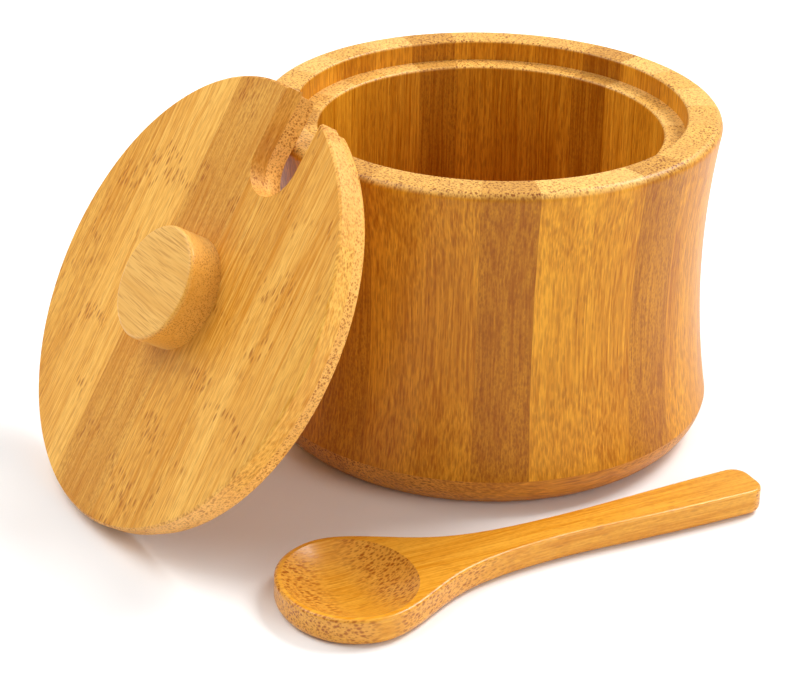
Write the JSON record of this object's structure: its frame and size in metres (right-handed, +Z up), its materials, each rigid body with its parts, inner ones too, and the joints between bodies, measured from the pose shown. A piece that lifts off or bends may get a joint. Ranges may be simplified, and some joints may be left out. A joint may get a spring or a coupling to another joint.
{
  "type": "sugar jar",
  "caption": "Round waisted sugar jar of glued bamboo staves with a notched flat lid leaning on its rim and a matching spoon beside it.",
  "frame": {"origin": "centre of the jar's underside, on the surface it stands on", "axes": "+Z up along the axis of the jar, -Y towards the front, where the spoon lies, +X to the right"},
  "size_m": [0.1814, 0.1782, 0.0997],
  "materials": {
    "wall_bamboo": "clear satin lacquer over caramelised bamboo",
    "base_bamboo": "clear satin lacquer over caramelised bamboo",
    "lid_upper_bamboo": "clear satin lacquer over caramelised bamboo",
    "lid_lower_bamboo": "clear satin lacquer over caramelised bamboo",
    "knob_bamboo": "clear satin lacquer over caramelised bamboo",
    "dowel_bamboo": "clear satin lacquer over caramelised bamboo",
    "spoon_bamboo": "clear satin lacquer over caramelised bamboo"
  },
  "bodies": {
    "jar": {"base_strip_1": "base_bamboo", "base_strip_2": "base_bamboo", "base_strip_3": "base_bamboo", "base_strip_4": "base_bamboo", "base_strip_5": "base_bamboo", "base_strip_6": "base_bamboo", "base_strip_7": "base_bamboo", "wall_stave_01": "wall_bamboo", "wall_stave_02": "wall_bamboo", "wall_stave_03": "wall_bamboo", "wall_stave_04": "wall_bamboo", "wall_stave_05": "wall_bamboo", "wall_stave_06": "wall_bamboo", "wall_stave_07": "wall_bamboo", "wall_stave_08": "wall_bamboo", "wall_stave_09": "wall_bamboo", "wall_stave_10": "wall_bamboo", "wall_stave_11": "wall_bamboo", "wall_stave_12": "wall_bamboo", "wall_stave_13": "wall_bamboo", "wall_stave_14": "wall_bamboo", "wall_stave_15": "wall_bamboo", "wall_stave_16": "wall_bamboo", "wall_stave_17": "wall_bamboo", "wall_stave_18": "wall_bamboo", "wall_stave_19": "wall_bamboo", "wall_stave_20": "wall_bamboo", "wall_stave_21": "wall_bamboo", "wall_stave_22": "wall_bamboo", "wall_stave_23": "wall_bamboo", "wall_stave_24": "wall_bamboo", "wall_stave_25": "wall_bamboo", "wall_stave_26": "wall_bamboo"},
    "lid": {"knob": "knob_bamboo", "knob_dowel": "dowel_bamboo", "lid_lower_strip_1": "lid_lower_bamboo", "lid_lower_strip_2": "lid_lower_bamboo", "lid_lower_strip_3": "lid_lower_bamboo", "lid_lower_strip_4": "lid_lower_bamboo", "lid_lower_strip_5": "lid_lower_bamboo", "lid_lower_strip_6": "lid_lower_bamboo", "lid_upper_strip_1": "lid_upper_bamboo", "lid_upper_strip_2": "lid_upper_bamboo", "lid_upper_strip_3": "lid_upper_bamboo", "lid_upper_strip_4": "lid_upper_bamboo", "lid_upper_strip_5": "lid_upper_bamboo", "lid_upper_strip_6": "lid_upper_bamboo"},
    "spoon": {"spoon": "spoon_bamboo"}
  },
  "joints": [
    {"name": "lid_lift", "type": "slide", "parent": "jar", "child": "lid", "axis": [-0.7111, -0.4689, 0.524], "range_m": [0, 0.08]},
    {"name": "spoon_lift", "type": "slide", "parent": "jar", "child": "spoon", "axis": [0.2477, -0.4343, 0.866], "range_m": [0, 0.1]}
  ]
}
